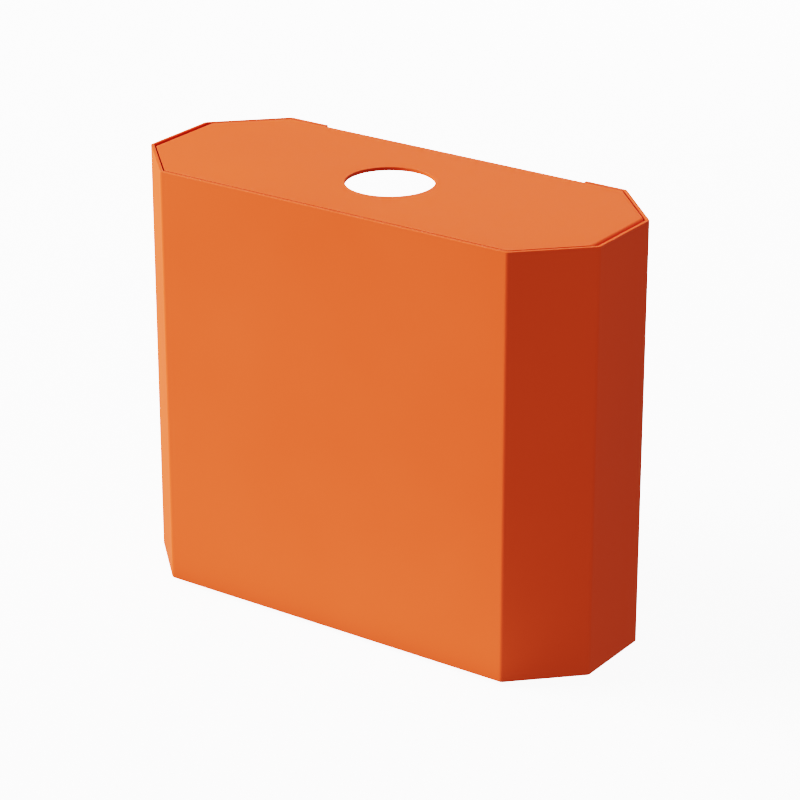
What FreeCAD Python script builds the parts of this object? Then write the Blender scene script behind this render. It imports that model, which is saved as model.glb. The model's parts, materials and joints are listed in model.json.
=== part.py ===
"""Biohazard waste bin: a folded sheet-steel housing with a lift-off lid and a lift-out inner bin.

The housing is one sheet wrapped round an eight-sided plan and left open at the back, between two
return flanges that meet the wall. A floor plate and a tie bar hold the wrap in shape. Both are
clamped by nuts on studs welded to the inner faces, so no fixing shows outside. The lid drops into
the top of the housing and stands on two padded ledges. Waste falls through its hole into the inner
bin, which lifts out by a wire bail.

Frame: millimetres, +Z up, front towards -Y, origin on the ground below the middle of the housing.
"""

import FreeCAD
import Part

import math
import os

Vec = FreeCAD.Vector
X_AXIS = Vec(1, 0, 0)
Y_AXIS = Vec(0, 1, 0)
Z_AXIS = Vec(0, 0, 1)
ROOT_TWO = math.sqrt(2)

# Housing
width = 300.0
depth = 121.5
height = 250.5
front_chamfer = 35.0
rear_chamfer = 36.0
return_flange = 26.0
sheet = 2.0
bend_inside = sheet / 2
bend_outside = bend_inside + sheet
edge_round = 0.25
fit_gap = 0.8

# Feet, which lift the housing off the bench
foot_height = 3.0
foot_radius = 6.5
foot_taper = 0.8
foot_x = 116.0
foot_y = 36.0

# Lid
drop_hole_radius = 25.0
drop_hole_y = -2.0
lid_flange = 18.0

# Floor plate
floor_flange = 20.0
rear_lip = 18.0

# Ledges that the lid stands on: short lengths of aluminium angle
ledge_reach = 10.0
ledge_drop = 20.0
ledge_length = 42.0
ledge_sheet = 2.0
pad_height = 1.5
pad_margin = 0.5
pad_round = 0.4

# Tie bar across the open back, with the keyholes that it hangs by
tie_bar_low = 130.0
tie_bar_height = 26.0
tie_bar_lip = 6.0
tie_bar_end_margin = 2.0
keyhole_spacing = 120.0
keyhole_entry_radius = 5.0
keyhole_slot_radius = 2.5
keyhole_rise = 9.0
keyhole_low = 9.0
keyhole_cutter = sheet * 4
drop_hole_cutter = sheet * 3

# M4 studs and nuts
stud_radius = 2.0
stud_length = 8.0
stud_hole_radius = 2.3
stud_hole_cutter = sheet * 3
nut_across_flats = 7.0
nut_height = 4.6
nut_flange_radius = 5.0
nut_flange_height = 1.0
nut_chamfer = 0.5
nut_bore_radius = stud_radius + 0.05
side_stud_pitch = 24.0
tie_stud_pitch = 12.0
floor_stud_height = 12.0
ledge_stud_drop = 12.0

# Inner bin
bin_height = 195.0
bin_foot_width = 244.0
bin_foot_depth = 82.0
bin_foot_chamfer = 27.0
bin_corner_radius = 8.0
bin_draft = 5.0
bin_wall = 2.0
bin_y = -2.5
rim_reach = 4.0
rim_thickness = 2.5
rim_round = 0.8
standing_ring = 5.0
standing_ring_rise = 1.0
boss_radius = 5.0
boss_face_x = 131.5
boss_bore_depth = 5.0

# Wire bail of the inner bin
wire_radius = 1.5
wire_clearance = 0.08
bail_pivot_drop = 8.0
bail_arm_x = 134.5
bail_pin_x = 127.0
bail_straight_arm = 17.5
bail_reach = 53.4
bail_pivot_bend = 3.0
bail_corner_bend = 10.0
bail_rest_deg = 28.0

# Levels and faces that several pieces share
housing_low = foot_height
housing_top = housing_low + height
floor_top = housing_low + sheet
side_face_x = width / 2 - sheet
rear_face_y = depth / 2 - sheet
opening_half = width / 2 - rear_chamfer - return_flange
side_middle_y = (front_chamfer - rear_chamfer) / 2
rear_flange_middle_x = opening_half + return_flange / 2
ledge_top = housing_top - lid_flange - pad_height
tie_bar_bottom = housing_low + tie_bar_low
tie_stud_middle_z = tie_bar_bottom + (tie_bar_height - bend_outside) / 2
rim_top = floor_top + bin_height
pivot_z = rim_top - bail_pivot_drop
tolerance = 1e-6


def plan_corners(inset, side_inset):
    """Corners of the housing's plan moved inwards, left rear corner first and right rear corner last."""
    half_depth = depth / 2 - inset
    half_width = width / 2 - side_inset
    chamfered_sum = (width + depth) / 2 - inset * ROOT_TWO
    front_sum = chamfered_sum - front_chamfer
    rear_sum = chamfered_sum - rear_chamfer
    right = [
        (front_sum - half_depth, -half_depth),
        (half_width, half_width - front_sum),
        (half_width, rear_sum - half_width),
        (rear_sum - half_depth, half_depth),
    ]
    left = [(-x, y) for x, y in reversed(right)]
    return left + right


def corner_arc(before, corner, after, radius):
    """Arc of that radius tangent to the two lines that meet at a corner."""
    towards_before = (before - corner).normalize()
    towards_after = (after - corner).normalize()
    half_angle = towards_before.getAngle(towards_after) / 2
    tangent = radius / math.tan(half_angle)
    bisector = (towards_before + towards_after).normalize()
    middle = corner + bisector * (radius / math.sin(half_angle) - radius)
    return Part.Arc(
        corner + towards_before * tangent, middle, corner + towards_after * tangent
    ).toShape()


def rounded_edges(points, radii, closed=False):
    """Lines and tangent arcs along a path, with one radius for each corner that it turns."""
    count = len(points)
    corners = range(count) if closed else range(1, count - 1)
    arcs = [
        corner_arc(points[i - 1], points[i], points[(i + 1) % count], radius)
        for i, radius in zip(corners, radii)
    ]
    ends = [(arc.Vertexes[0].Point, arc.Vertexes[-1].Point) for arc in arcs]
    if closed:
        joins = [(ends[i - 1][1], ends[i][0]) for i in range(len(ends))]
    else:
        stops = [points[0]] + [p for pair in ends for p in pair] + [points[-1]]
        joins = list(zip(stops[0::2], stops[1::2]))
    lines = [Part.LineSegment(a, b).toShape() for a, b in joins]
    return arcs + lines


def wire_of(edges):
    return Part.Wire(Part.__sortEdges__(edges))


def polygon_face(points):
    return Part.Face(Part.makePolygon(points + points[:1]))


def flat_corners(corners, z):
    return [Vec(x, y, z) for x, y in corners]


def sheet_section(points):
    """Section of a bent sheet, as a face.

    points run along the outer face of the sheet, which lies on the side that the path turns towards.
    """
    normal = (points[1] - points[0]).cross(points[2] - points[1]).normalize()
    inner = []
    for i, point in enumerate(points):
        ahead = points[min(i + 1, len(points) - 1)] - points[min(i, len(points) - 2)]
        behind = points[max(i, 1)] - points[max(i - 1, 0)]
        step_ahead = normal.cross(ahead).normalize()
        step_behind = normal.cross(behind).normalize()
        share = 1 + step_ahead.dot(step_behind)
        inner.append(point + (step_ahead + step_behind) * (sheet / share))
    turns = len(points) - 2
    edges = rounded_edges(points, [bend_outside] * turns)
    edges += rounded_edges(inner, [bend_inside] * turns)
    edges.append(Part.LineSegment(points[0], inner[0]).toShape())
    edges.append(Part.LineSegment(points[-1], inner[-1]).toShape())
    return Part.Face(wire_of(edges))


def level_edges(shape, *levels):
    """Edges that lie flat at one of these heights."""
    found = []
    for edge in shape.Edges:
        box = edge.BoundBox
        if box.ZLength < tolerance and any(abs(box.ZMin - z) < tolerance for z in levels):
            found.append(edge)
    return found


def rod(radius, start, direction, length):
    return Part.makeCylinder(radius, length, start, direction)


def shell():
    outer = plan_corners(0, 0)
    path = [(-opening_half, depth / 2)] + outer + [(opening_half, depth / 2)]
    body = sheet_section(flat_corners(path, housing_low)).extrude(Z_AXIS * height)
    return body.makeFillet(edge_round, level_edges(body, housing_low, housing_top))


def folded_tray(level, flange, side_gap, way):
    """Plate with folded side edges, cut to the plan. way is 1 if they fold upwards, -1 if downwards."""
    half = side_face_x - side_gap
    tip = level + way * flange
    section = [(-half, tip), (-half, level), (half, level), (half, tip)]
    path = [Vec(x, -depth / 2, z) for x, z in section]
    tray = sheet_section(path).extrude(Y_AXIS * depth)
    plan = plan_corners(sheet + fit_gap, sheet + side_gap)
    prism = polygon_face(flat_corners(plan, min(level, tip))).extrude(Z_AXIS * flange)
    return tray.common(prism)


def lid():
    plate = folded_tray(housing_top, lid_flange, fit_gap, -1)
    hole_start = Vec(0, drop_hole_y, housing_top - drop_hole_cutter / 2)
    plate = plate.cut(rod(drop_hole_radius, hole_start, Z_AXIS, drop_hole_cutter))
    return plate.makeFillet(edge_round, level_edges(plate, housing_top))


def stud_places(z, pitch):
    """Points on the side walls' inner faces, each with the direction into the housing."""
    return [
        (Vec(side * side_face_x, side_middle_y + shift * pitch / 2, z), X_AXIS * -side)
        for side in (-1, 1)
        for shift in (-1, 1)
    ]


def tie_stud_places():
    """Points on the return flanges' inner faces, each with the direction into the housing."""
    levels = [tie_stud_middle_z + shift * tie_stud_pitch / 2 for shift in (-1, 1)]
    return [
        (Vec(side * rear_flange_middle_x, rear_face_y, z), -Y_AXIS)
        for side in (-1, 1)
        for z in levels
    ]


def cut_stud_holes(piece, places):
    for place, inwards in places:
        piece = piece.cut(rod(stud_hole_radius, place - inwards, inwards, stud_hole_cutter))
    return piece


def floor_plate():
    plate = folded_tray(housing_low, floor_flange, 0, 1)
    half = opening_half - fit_gap
    lip_start = depth / 2 - rear_lip
    path = [
        Vec(-half, lip_start, housing_low),
        Vec(-half, depth / 2, housing_low),
        Vec(-half, depth / 2, housing_low + rear_lip),
    ]
    lip = sheet_section(path).extrude(X_AXIS * half * 2)
    plate = plate.fuse(lip).removeSplitter()
    return cut_stud_holes(plate, floor_studs)


def lid_ledge(side):
    outer_x = side * side_face_x
    start = side_middle_y - ledge_length / 2
    corners = [
        (0, 0),
        (ledge_reach, 0),
        (ledge_reach, ledge_sheet),
        (ledge_sheet, ledge_sheet),
        (ledge_sheet, ledge_drop),
        (0, ledge_drop),
    ]
    outline = [Vec(outer_x - side * inwards, start, ledge_top - down) for inwards, down in corners]
    angle = polygon_face(outline).extrude(Y_AXIS * ledge_length)
    return cut_stud_holes(angle, ledge_studs)


def lid_pad(side):
    long = ledge_length - pad_margin * 2
    wide = ledge_reach - pad_margin * 2
    near = min(side * (side_face_x - pad_margin), side * (side_face_x - ledge_reach + pad_margin))
    pad = Part.makeBox(wide, long, pad_height, Vec(near, side_middle_y - long / 2, ledge_top))
    return pad.makeFillet(pad_round, level_edges(pad, ledge_top + pad_height))


def keyhole(x):
    """Cutter with a round entry for a screw's head and a narrower slot above it for the shank."""
    entry = Vec(x, rear_face_y - keyhole_cutter / 2, tie_bar_bottom + keyhole_low)
    slot_width = keyhole_slot_radius * 2
    slot_corner = entry - X_AXIS * keyhole_slot_radius
    slot = Part.makeBox(slot_width, keyhole_cutter, keyhole_rise, slot_corner)
    top = rod(keyhole_slot_radius, entry + Z_AXIS * keyhole_rise, Y_AXIS, keyhole_cutter)
    return rod(keyhole_entry_radius, entry, Y_AXIS, keyhole_cutter).fuse([slot, top])


def rear_tie_bar():
    half = opening_half + return_flange - tie_bar_end_margin
    top = tie_bar_bottom + tie_bar_height
    path = [
        Vec(-half, rear_face_y, tie_bar_bottom),
        Vec(-half, rear_face_y, top),
        Vec(-half, rear_face_y - tie_bar_lip, top),
    ]
    bar = sheet_section(path).extrude(X_AXIS * half * 2)
    for side in (-1, 1):
        bar = bar.cut(keyhole(side * keyhole_spacing / 2))
    return cut_stud_holes(bar, tie_studs)


def weld_studs(places):
    return [rod(stud_radius, place, inwards, stud_length) for place, inwards in places]


def flange_nut(face, inwards):
    """Hexagon nut with a built-in washer, its washer face on the clamped sheet."""
    corner_radius = nut_across_flats / math.sqrt(3)
    sideways = inwards.cross(Z_AXIS)
    turns = [math.radians(60 * i) for i in range(6)]
    corners = [
        face + (sideways * math.cos(turn) + Z_AXIS * math.sin(turn)) * corner_radius
        for turn in turns
    ]
    hexagon = polygon_face(corners).extrude(inwards * nut_height)
    base_radius = corner_radius - nut_chamfer + nut_height
    crown = Part.makeCone(base_radius, corner_radius - nut_chamfer, nut_height, face, inwards)
    washer = rod(nut_flange_radius, face, inwards, nut_flange_height)
    bore = rod(nut_bore_radius, face - inwards, inwards, nut_height * 2)
    return hexagon.common(crown).fuse(washer).removeSplitter().cut(bore)


def flange_nuts(places, clamped):
    """Nuts on the studs at these places, each standing on a sheet of the clamped thickness."""
    return [flange_nut(place + inwards * clamped, inwards) for place, inwards in places]


def foot(x, y):
    pad = Part.makeCone(foot_radius - foot_taper, foot_radius, foot_height, Vec(x, y, 0), Z_AXIS)
    return pad.makeFillet(foot_taper, level_edges(pad, 0))


def bin_outline(grow, z):
    """Rounded eight-sided outline of the inner bin, grown outwards all round."""
    half_width = bin_foot_width / 2 + grow
    half_depth = bin_foot_depth / 2 + grow
    line_sum = (bin_foot_width + bin_foot_depth) / 2 - bin_foot_chamfer + grow * ROOT_TWO
    near_end = line_sum - half_width
    near_face = line_sum - half_depth
    front = [(near_face, -half_depth), (half_width, -near_end)]
    right = front + [(x, -y) for x, y in reversed(front)]
    corners = right + [(-x, -y) for x, y in right]
    points = [Vec(x, bin_y + y, z) for x, y in corners]
    return wire_of(rounded_edges(points, [bin_corner_radius + grow] * len(points), closed=True))


def bin_block(grow_low, low, grow_high, high):
    return Part.makeLoft([bin_outline(grow_low, low), bin_outline(grow_high, high)], True, True)


def inner_bin():
    overshoot = 2.0
    draft_per_mm = bin_draft / bin_height
    base = floor_top + bin_wall + standing_ring_rise
    outside = bin_block(0, floor_top, bin_draft, rim_top)
    rim_grow = bin_draft + rim_reach
    rim = bin_block(rim_grow, rim_top - rim_thickness, rim_grow, rim_top)
    rim = rim.makeFillet(rim_round, level_edges(rim, rim_top - rim_thickness, rim_top))
    pot = outside.fuse(rim)
    for side in (-1, 1):
        start = bin_foot_width / 2
        boss = rod(boss_radius, Vec(side * start, bin_y, pivot_z), X_AXIS * side, boss_face_x - start)
        pot = pot.fuse(boss)
    hollow = bin_block(
        (base - floor_top) * draft_per_mm - bin_wall,
        base,
        bin_draft - bin_wall + overshoot * draft_per_mm,
        rim_top + overshoot,
    )
    recess = bin_block(-standing_ring, floor_top, -standing_ring, floor_top + standing_ring_rise)
    pot = pot.cut(hollow).cut(recess)
    for side in (-1, 1):
        mouth = Vec(side * boss_face_x, bin_y, pivot_z)
        pot = pot.cut(rod(wire_radius + wire_clearance, mouth, X_AXIS * -side, boss_bore_depth))
    return pot.removeSplitter()


def bail_handle():
    """Round wire bent to a wide loop, with its two ends turned in as pivot pins."""
    tilt = math.radians(bail_rest_deg)
    outwards = Vec(0, -math.cos(tilt), -math.sin(tilt))
    pivot = Vec(0, bin_y, pivot_z)
    corner_x = bail_arm_x - (bail_reach - bail_straight_arm)
    right = [
        (bail_pin_x, 0, 0),
        (bail_arm_x, 0, bail_pivot_bend),
        (bail_arm_x, bail_straight_arm, bail_corner_bend),
        (corner_x, bail_reach, bail_corner_bend),
    ]
    stations = right + [(-x, reach, bend) for x, reach, bend in reversed(right)]
    points = [pivot + X_AXIS * x + outwards * reach for x, reach, bend in stations]
    spine = wire_of(rounded_edges(points, [bend for x, reach, bend in stations[1:-1]]))
    section = Part.Wire(Part.makeCircle(wire_radius, points[0], X_AXIS))
    return spine.makePipeShell([section], True, False)


floor_studs = stud_places(housing_low + floor_stud_height, side_stud_pitch)
ledge_studs = stud_places(ledge_top - ledge_stud_drop, side_stud_pitch)
tie_studs = tie_stud_places()
stud_groups = (
    ("floor", floor_studs, sheet),
    ("ledge", ledge_studs, ledge_sheet),
    ("tie_bar", tie_studs, sheet),
)


def all_parts():
    parts = {
        "shell": shell(),
        "floor_plate": floor_plate(),
        "lid": lid(),
        "left_lid_ledge": lid_ledge(-1),
        "right_lid_ledge": lid_ledge(1),
        "left_lid_pad": lid_pad(-1),
        "right_lid_pad": lid_pad(1),
        "rear_tie_bar": rear_tie_bar(),
        "inner_bin": inner_bin(),
        "bail_handle": bail_handle(),
    }
    for group, places, clamped in stud_groups:
        parts[group + "_weld_studs"] = Part.makeCompound(weld_studs(places))
        parts[group + "_flange_nuts"] = Part.makeCompound(flange_nuts(places, clamped))
    for end, y in (("front", -foot_y), ("rear", foot_y)):
        for hand, x in (("left", -foot_x), ("right", foot_x)):
            parts[f"{end}_{hand}_foot"] = foot(x, y)
    return parts


def main():
    os.makedirs("parts", exist_ok=True)
    for name, shape in all_parts().items():
        shape.exportStep(f"parts/{name}.step")
        print(f"{name:22s} solids {len(shape.Solids)} valid {shape.isValid()} volume {shape.Volume:.0f}")


main()
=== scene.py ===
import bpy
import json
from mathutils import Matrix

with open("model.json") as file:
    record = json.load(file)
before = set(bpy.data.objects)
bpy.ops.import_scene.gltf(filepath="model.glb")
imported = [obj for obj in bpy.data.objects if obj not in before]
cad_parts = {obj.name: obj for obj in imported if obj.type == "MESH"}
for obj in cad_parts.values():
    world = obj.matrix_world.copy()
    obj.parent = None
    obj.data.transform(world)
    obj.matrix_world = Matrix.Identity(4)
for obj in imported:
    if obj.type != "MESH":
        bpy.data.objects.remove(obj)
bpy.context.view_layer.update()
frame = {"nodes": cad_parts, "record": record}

# Studio scene of the biohazard waste bin. Metres, +Z up, front towards -Y, origin on the floor.

import json
import math

import bmesh
import bpy
from mathutils import Vector

nodes = frame["nodes"]


# ---------------------------------------------------------------- node helpers

def new_material(name):
    """Empty material with a shader joined to its output."""
    material = bpy.data.materials.new(name)
    material.use_nodes = True
    tree = material.node_tree
    tree.nodes.clear()
    output = tree.nodes.new("ShaderNodeOutputMaterial")
    shader = tree.nodes.new("ShaderNodeBsdfPrincipled")
    tree.links.new(shader.outputs["BSDF"], output.inputs["Surface"])
    return material, tree, shader


def object_space(tree, stretch=(1, 1, 1)):
    """Coordinates in metres fixed to the piece, scaled along each axis."""
    coordinates = tree.nodes.new("ShaderNodeTexCoord")
    mapping = tree.nodes.new("ShaderNodeMapping")
    mapping.inputs["Scale"].default_value = stretch
    tree.links.new(coordinates.outputs["Object"], mapping.inputs["Vector"])
    return mapping.outputs["Vector"]


def noise(tree, space, feature, detail=2.0, roughness=0.5):
    """Noise whose features are about that many metres across."""
    node = tree.nodes.new("ShaderNodeTexNoise")
    node.inputs["Scale"].default_value = 1 / feature
    node.inputs["Detail"].default_value = detail
    node.inputs["Roughness"].default_value = roughness
    tree.links.new(space, node.inputs["Vector"])
    return node.outputs["Fac"]


def spread(tree, value, low, high, start=0.3, end=0.7):
    """Maps start..end of a value to low..high."""
    node = tree.nodes.new("ShaderNodeMapRange")
    node.inputs["From Min"].default_value = start
    node.inputs["From Max"].default_value = end
    node.inputs["To Min"].default_value = low
    node.inputs["To Max"].default_value = high
    tree.links.new(value, node.inputs["Value"])
    return node.outputs["Result"]


def mix_colours(tree, share, first, second):
    """first where share is 0 and second where it is 1; each is a colour or a socket."""
    node = tree.nodes.new("ShaderNodeMix")
    node.data_type = "RGBA"
    tree.links.new(share, node.inputs["Factor"])
    for socket, colour in (("A", first), ("B", second)):
        target = [s for s in node.inputs if s.name == socket and s.type == "RGBA"][0]
        if isinstance(colour, tuple):
            target.default_value = (*colour, 1)
        else:
            tree.links.new(colour, target)
    return [s for s in node.outputs if s.type == "RGBA"][0]


def bump(tree, height, depth, below=None):
    """Surface normal raised by height times depth metres."""
    node = tree.nodes.new("ShaderNodeBump")
    node.inputs["Distance"].default_value = depth
    tree.links.new(height, node.inputs["Height"])
    if below is not None:
        tree.links.new(below, node.inputs["Normal"])
    return node.outputs["Normal"]


def edge_share(tree, radius, start, end):
    """1 on edges sharper than radius and 0 on open faces."""
    bevel = tree.nodes.new("ShaderNodeBevel")
    bevel.samples = 6
    bevel.inputs["Radius"].default_value = radius
    geometry = tree.nodes.new("ShaderNodeNewGeometry")
    dot = tree.nodes.new("ShaderNodeVectorMath")
    dot.operation = "DOT_PRODUCT"
    tree.links.new(bevel.outputs["Normal"], dot.inputs[0])
    tree.links.new(geometry.outputs["Normal"], dot.inputs[1])
    return spread(tree, dot.outputs["Value"], 1.0, 0.0, start, end)


def crevice_share(tree, reach, open_share, shut_share):
    """1 in gaps narrower than reach and 0 on open faces."""
    node = tree.nodes.new("ShaderNodeAmbientOcclusion")
    node.samples = 8
    node.inputs["Distance"].default_value = reach
    return spread(tree, node.outputs["AO"], 1.0, 0.0, shut_share, open_share)


# ---------------------------------------------------------------- materials

def powder_coat():
    """Satin orange powder coat: orange peel, faint clouding, painted shade on sharp edges and painted shade
    in gaps.
    """
    material, tree, shader = new_material("orange_powder_coat")
    space = object_space(tree)
    clouds = noise(tree, space, 0.09, 3.0)
    speckle = noise(tree, space, 0.0006, 2.0)
    even = mix_colours(tree, spread(tree, clouds, 0, 1), (0.785, 0.092, 0.027), (0.815, 0.098, 0.03))
    fine = mix_colours(tree, spread(tree, speckle, 0, 0.12), even, (0.85, 0.115, 0.038))
    # painted shade: colour darkened on edges sharper than half a millimetre
    edge_shaded = mix_colours(tree, edge_share(tree, 0.0005, 0.75, 0.98), fine, (0.6, 0.048, 0.014))
    # painted shade: colour darkened in gaps narrower than 2 mm, such as round the lid
    shaded = mix_colours(tree, crevice_share(tree, 0.002, 0.85, 0.45), edge_shaded, (0.42, 0.03, 0.008))
    tree.links.new(shaded, shader.inputs["Base Color"])
    peel = noise(tree, space, 0.0016, 1.0)
    grit = noise(tree, space, 0.0004, 1.0)
    normal = bump(tree, grit, 0.000004, bump(tree, peel, 0.000015))
    tree.links.new(normal, shader.inputs["Normal"])
    tree.links.new(spread(tree, clouds, 0.48, 0.56), shader.inputs["Roughness"])
    shader.inputs["Specular IOR Level"].default_value = 0.1
    return material


def polypropylene():
    """White moulded polypropylene with a fine matt texture and a little scuffing."""
    material, tree, shader = new_material("white_polypropylene")
    space = object_space(tree)
    clouds = noise(tree, space, 0.06, 3.0)
    colour = mix_colours(tree, spread(tree, clouds, 0, 1), (0.8, 0.8, 0.77), (0.86, 0.86, 0.84))
    scuffs = noise(tree, object_space(tree, (1, 1, 9)), 0.012, 4.0, 0.7)
    marked = mix_colours(tree, spread(tree, scuffs, 0, 0.4, 0.62, 0.8), colour, (0.66, 0.66, 0.63))
    tree.links.new(marked, shader.inputs["Base Color"])
    texture = noise(tree, space, 0.0007, 2.0)
    tree.links.new(bump(tree, texture, 0.00002), shader.inputs["Normal"])
    tree.links.new(spread(tree, scuffs, 0.42, 0.6), shader.inputs["Roughness"])
    return material


def extruded_aluminium():
    """Mill-finish aluminium angle with die lines along its length."""
    material, tree, shader = new_material("aluminium_angle")
    lines = noise(tree, object_space(tree, (1, 0.02, 1)), 0.0005, 3.0)
    clouds = noise(tree, object_space(tree), 0.02, 2.0)
    colour = mix_colours(tree, spread(tree, clouds, 0, 1), (0.68, 0.69, 0.7), (0.8, 0.81, 0.82))
    tree.links.new(colour, shader.inputs["Base Color"])
    tree.links.new(spread(tree, lines, 0.28, 0.5), shader.inputs["Roughness"])
    tree.links.new(bump(tree, lines, 0.00001), shader.inputs["Normal"])
    shader.inputs["Metallic"].default_value = 1.0
    return material


def zinc_plate():
    """Bright zinc on steel: cool grey with a faint straw tint in patches."""
    material, tree, shader = new_material("zinc_plated_steel")
    space = object_space(tree)
    patches = noise(tree, space, 0.003, 3.0)
    colour = mix_colours(tree, spread(tree, patches, 0, 1), (0.62, 0.65, 0.7), (0.74, 0.72, 0.64))
    tree.links.new(colour, shader.inputs["Base Color"])
    tree.links.new(spread(tree, patches, 0.25, 0.42), shader.inputs["Roughness"])
    grain = noise(tree, space, 0.0003, 2.0)
    tree.links.new(bump(tree, grain, 0.000008), shader.inputs["Normal"])
    shader.inputs["Metallic"].default_value = 1.0
    return material


def drawn_wire():
    """Stainless wire with drawing marks."""
    material, tree, shader = new_material("stainless_wire")
    space = object_space(tree)
    marks = noise(tree, space, 0.0008, 4.0, 0.7)
    clouds = noise(tree, space, 0.015, 2.0)
    colour = mix_colours(tree, spread(tree, clouds, 0, 1), (0.58, 0.57, 0.55), (0.7, 0.69, 0.67))
    tree.links.new(colour, shader.inputs["Base Color"])
    tree.links.new(spread(tree, marks, 0.2, 0.36), shader.inputs["Roughness"])
    tree.links.new(bump(tree, marks, 0.000008), shader.inputs["Normal"])
    shader.inputs["Metallic"].default_value = 1.0
    return material


def rubber():
    """Black moulded rubber with a dusty bloom."""
    material, tree, shader = new_material("black_rubber")
    space = object_space(tree)
    bloom = noise(tree, space, 0.004, 3.0)
    colour = mix_colours(tree, spread(tree, bloom, 0, 1), (0.016, 0.016, 0.017), (0.04, 0.04, 0.042))
    tree.links.new(colour, shader.inputs["Base Color"])
    tree.links.new(spread(tree, bloom, 0.7, 0.9), shader.inputs["Roughness"])
    grain = noise(tree, space, 0.0005, 2.0)
    tree.links.new(bump(tree, grain, 0.00002), shader.inputs["Normal"])
    return material


MATERIALS = {
    "orange_powder_coat": powder_coat(),
    "aluminium_angle": extruded_aluminium(),
    "white_polypropylene": polypropylene(),
    "stainless_wire": drawn_wire(),
    "zinc_plated_steel": zinc_plate(),
    "black_rubber": rubber(),
}


def dress_cad_nodes():
    """Gives every CAD node the procedural material of its slot."""
    for part in frame["record"]["subparts"]:
        mesh = nodes[part["node"]].data
        mesh.materials.clear()
        mesh.materials.append(MATERIALS[part["material_slot"]])


# ---------------------------------------------------------------- studio

# Where the camera looks, near the middle of the bin
AIM = Vector((0.0055, -0.0003, 0.1238))
# Large soft light, high on the left and in front
KEY_DIRECTION = Vector((-0.757, -0.379, 0.521))
KEY_DISTANCE = 4.6
KEY_SIZE = 2.4
KEY_POWER = 536.0
# Even light from all round
FILL_STRENGTH = 0.36
# Narrow light beside the right front corner
SIDE_PLACE = Vector((0.35, -0.17, 0.15))
SIDE_SIZE = (0.06, 0.4)
SIDE_POWER = 0.08
# Light that the floor throws up on the lower front
BOUNCE_PLACE = Vector((-0.2, -0.285, 0.001))
BOUNCE_SIZE = (0.7, 0.43)
BOUNCE_POWER = 0.75
# Light for the open back
REAR_DIRECTION = Vector((-0.35, 1.0, 0.15))
REAR_DISTANCE = 1.6
REAR_SIZE = 1.0
REAR_POWER = 18.0
# Camera: degrees round from the front and up from the floor
CAMERA_DISTANCE = 1.7753
CAMERA_AZIMUTH = math.radians(34.87)
CAMERA_ELEVATION = math.radians(22.765)
CAMERA_LENS = 141.17
SENSOR_WIDTH = 36.0
PAPER_GLOW = 4.0


def floor_and_cove():
    """Round pale floor that curves up into a wall on every side."""
    flat_radius, cove_radius, wall_top, turns, steps = 5.0, 1.5, 6.0, 96, 12
    profile = [(1.0, 0.0), (flat_radius, 0.0)]
    for i in range(1, steps + 1):
        turn = math.pi / 2 * i / steps
        profile.append((flat_radius + cove_radius * math.sin(turn), cove_radius * (1 - math.cos(turn))))
    profile.append((flat_radius + cove_radius, wall_top))
    mesh = bpy.data.meshes.new("studio_floor")
    work = bmesh.new()
    rings = []
    for radius, height in profile:
        angles = [2 * math.pi * i / turns for i in range(turns)]
        rings.append([work.verts.new((radius * math.cos(a), radius * math.sin(a), height)) for a in angles])
    work.faces.new(rings[0])
    for inner, outer in zip(rings, rings[1:]):
        for i in range(turns):
            j = (i + 1) % turns
            work.faces.new((inner[i], outer[i], outer[j], inner[j]))
    for face in work.faces:
        face.smooth = True
    work.to_mesh(mesh)
    work.free()
    floor = bpy.data.objects.new("studio_floor", mesh)
    bpy.context.scene.collection.objects.link(floor)
    material, tree, shader = new_material("studio_paper")
    clouds = noise(tree, object_space(tree), 0.5, 2.0)
    colour = mix_colours(tree, spread(tree, clouds, 0, 1), (0.86, 0.86, 0.86), (0.88, 0.88, 0.88))
    tree.links.new(colour, shader.inputs["Base Color"])
    shader.inputs["Roughness"].default_value = 0.9
    shader.inputs["Specular IOR Level"].default_value = 0.1
    shader.inputs["Emission Color"].default_value = (1, 1, 1, 1)
    shader.inputs["Emission Strength"].default_value = PAPER_GLOW
    mesh.materials.append(material)
    floor.visible_diffuse = False
    floor.visible_glossy = False
    floor.visible_shadow = False


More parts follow.
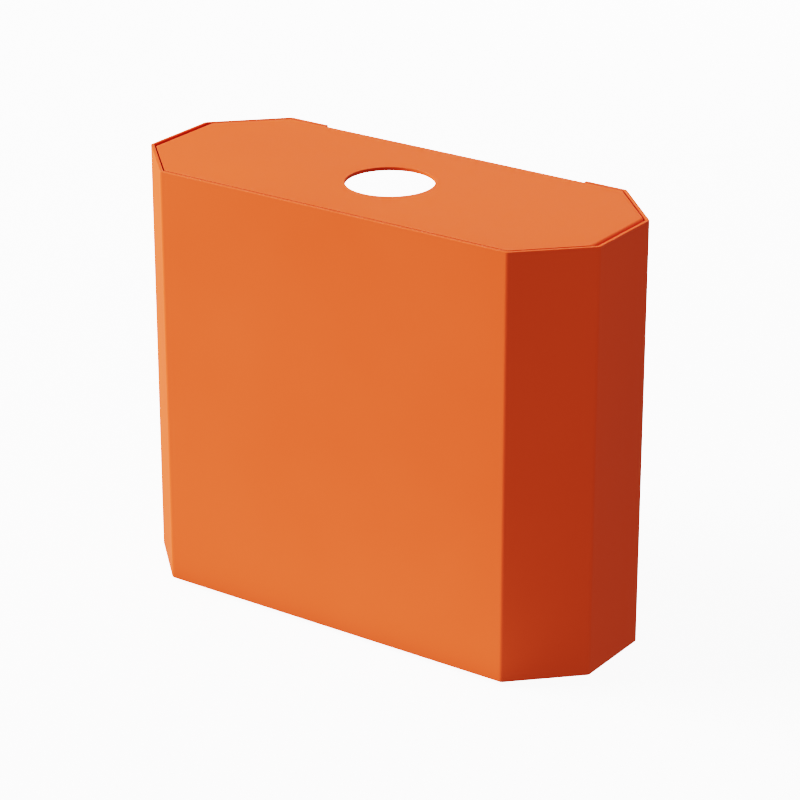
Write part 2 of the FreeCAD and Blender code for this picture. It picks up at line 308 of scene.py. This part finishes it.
def soft_light(name, place, facing, size, power, mirrored=True):
    """Flat light that shines the opposite way to facing. mirrored: whether glossy surfaces show it."""
    light = bpy.data.lights.new(name, "AREA")
    light.shape = "RECTANGLE"
    light.size, light.size_y = size
    light.energy = power
    lamp = bpy.data.objects.new(name, light)
    lamp.location = place
    lamp.rotation_euler = facing.to_track_quat("Z", "Y").to_euler()
    lamp.visible_camera = False
    lamp.visible_glossy = mirrored
    bpy.context.scene.collection.objects.link(lamp)


def far_light(name, direction, distance, size, power, mirrored=True):
    """Square light that stands in that direction from the bin."""
    place = AIM + direction.normalized() * distance
    soft_light(name, place, direction, (size, size), power, mirrored)


def fill_world():
    """White surroundings that light every face a little."""
    world = bpy.data.worlds.new("studio_fill")
    world.use_nodes = True
    background = world.node_tree.nodes["Background"]
    background.inputs["Color"].default_value = (1, 1, 1, 1)
    background.inputs["Strength"].default_value = FILL_STRENGTH
    bpy.context.scene.world = world


def camera():
    """Long lens that looks down at the front right corner."""
    lens = bpy.data.cameras.new("camera")
    lens.lens = CAMERA_LENS
    lens.sensor_width = SENSOR_WIDTH
    lens.clip_start = 0.05
    lens.clip_end = 50.0
    body = bpy.data.objects.new("camera", lens)
    back = Vector((
        math.sin(CAMERA_AZIMUTH) * math.cos(CAMERA_ELEVATION),
        -math.cos(CAMERA_AZIMUTH) * math.cos(CAMERA_ELEVATION),
        math.sin(CAMERA_ELEVATION),
    ))
    body.location = AIM + back * CAMERA_DISTANCE
    body.rotation_euler = (math.pi / 2 - CAMERA_ELEVATION, 0.0, CAMERA_AZIMUTH)
    bpy.context.scene.collection.objects.link(body)
    bpy.context.scene.camera = body


def colour_management():
    """Film-like response, which keeps the orange's hue from lit to shaded faces."""
    view = bpy.context.scene.view_settings
    view.view_transform = "Filmic"
    view.look = "High Contrast"


dress_cad_nodes()
floor_and_cove()
far_light("key", KEY_DIRECTION, KEY_DISTANCE, KEY_SIZE, KEY_POWER)
far_light("rear_fill", REAR_DIRECTION, REAR_DISTANCE, REAR_SIZE, REAR_POWER, mirrored=False)
soft_light("side_fill", SIDE_PLACE, Vector((1, 0, 0)), SIDE_SIZE, SIDE_POWER, mirrored=False)
soft_light("floor_bounce", BOUNCE_PLACE, Vector((0, 0, -1)), BOUNCE_SIZE, BOUNCE_POWER, mirrored=False)
fill_world()
camera()
colour_management()
